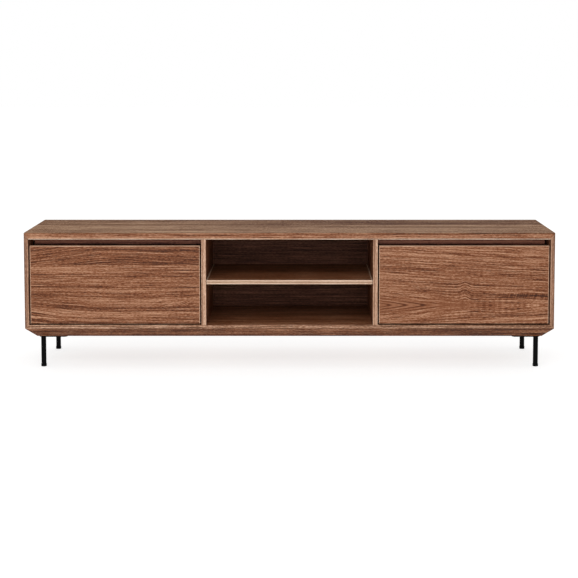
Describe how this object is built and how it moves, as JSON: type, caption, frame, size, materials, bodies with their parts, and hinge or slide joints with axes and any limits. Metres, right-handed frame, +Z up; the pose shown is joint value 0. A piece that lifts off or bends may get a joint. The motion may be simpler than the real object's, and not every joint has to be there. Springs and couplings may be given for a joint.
{
  "type": "tv stand with doors",
  "caption": "Long low walnut media console: open middle niche with a loose shelf, flap doors with finger slots at the sides, bevelled base, black tube legs.",
  "frame": {"origin": "on the floor under the middle of the case", "axes": "+Z up, -Y towards the front with the doors, +X to the viewer's right"},
  "size_m": [2, 0.45, 0.52],
  "materials": {
    "walnut_case": "satin lacquered walnut veneer",
    "walnut_door": "satin lacquered walnut veneer, grain along the width",
    "walnut_inside": "satin lacquered dark walnut veneer",
    "beech": "bare sanded beech and plywood",
    "black_steel": "satin black powder coat",
    "black_plastic": "matt black moulded plastic",
    "zinc_steel": "bright zinc-plated steel"
  },
  "bodies": {
    "carcass": {"top_panel": "walnut_case", "side_panel_left": "walnut_case", "side_panel_right": "walnut_case", "divider_left": "walnut_case", "divider_right": "walnut_case", "deck_panel": "walnut_case", "niche_shelf": "walnut_case", "base_rail_front": "walnut_case", "base_rail_rear": "walnut_case", "base_rail_left": "walnut_case", "base_rail_right": "walnut_case", "slot_rail_left": "walnut_inside", "slot_rail_right": "walnut_inside", "back_panel_left": "walnut_inside", "back_panel_centre": "walnut_inside", "back_panel_right": "walnut_inside", "corner_splines": "beech", "carcass_dowels": "beech", "slot_rail_dowels": "beech", "base_bearer_left": "beech", "base_bearer_right": "beech", "corner_block_front_left": "beech", "corner_block_front_right": "beech", "corner_block_rear_left": "beech", "corner_block_rear_right": "beech", "cable_grommet_left": "black_plastic", "cable_grommet_right": "black_plastic", "hinge_housings_left": "black_plastic", "hinge_housings_right": "black_plastic", "catches_left": "black_plastic", "catches_right": "black_plastic", "glide_front_left": "black_plastic", "glide_front_right": "black_plastic", "glide_rear_left": "black_plastic", "glide_rear_right": "black_plastic", "leg_plate_front_left": "black_steel", "leg_plate_front_right": "black_steel", "leg_plate_rear_left": "black_steel", "leg_plate_rear_right": "black_steel", "leg_front_left": "black_steel", "leg_front_right": "black_steel", "leg_rear_left": "black_steel", "leg_rear_right": "black_steel", "shelf_pins": "zinc_steel", "base_screws": "zinc_steel", "leg_plate_screws": "zinc_steel", "catch_screws": "zinc_steel"},
    "door_left": {"door_left": "walnut_door", "hinge_plates_left": "zinc_steel", "hinge_pins_left": "zinc_steel", "hinge_screws_left": "zinc_steel", "strike_plates_left": "zinc_steel", "strike_screws_left": "zinc_steel"},
    "door_right": {"door_right": "walnut_door", "hinge_plates_right": "zinc_steel", "hinge_pins_right": "zinc_steel", "hinge_screws_right": "zinc_steel", "strike_plates_right": "zinc_steel", "strike_screws_right": "zinc_steel"}
  },
  "joints": [
    {"name": "door_left_hinge", "type": "hinge", "parent": "carcass", "child": "door_left", "pos_m": [-0.658, -0.218, 0.1825], "axis": [1, 0, 0], "range_deg": [0, 90]},
    {"name": "door_right_hinge", "type": "hinge", "parent": "carcass", "child": "door_right", "pos_m": [0.658, -0.218, 0.1825], "axis": [1, 0, 0], "range_deg": [0, 90]}
  ]
}
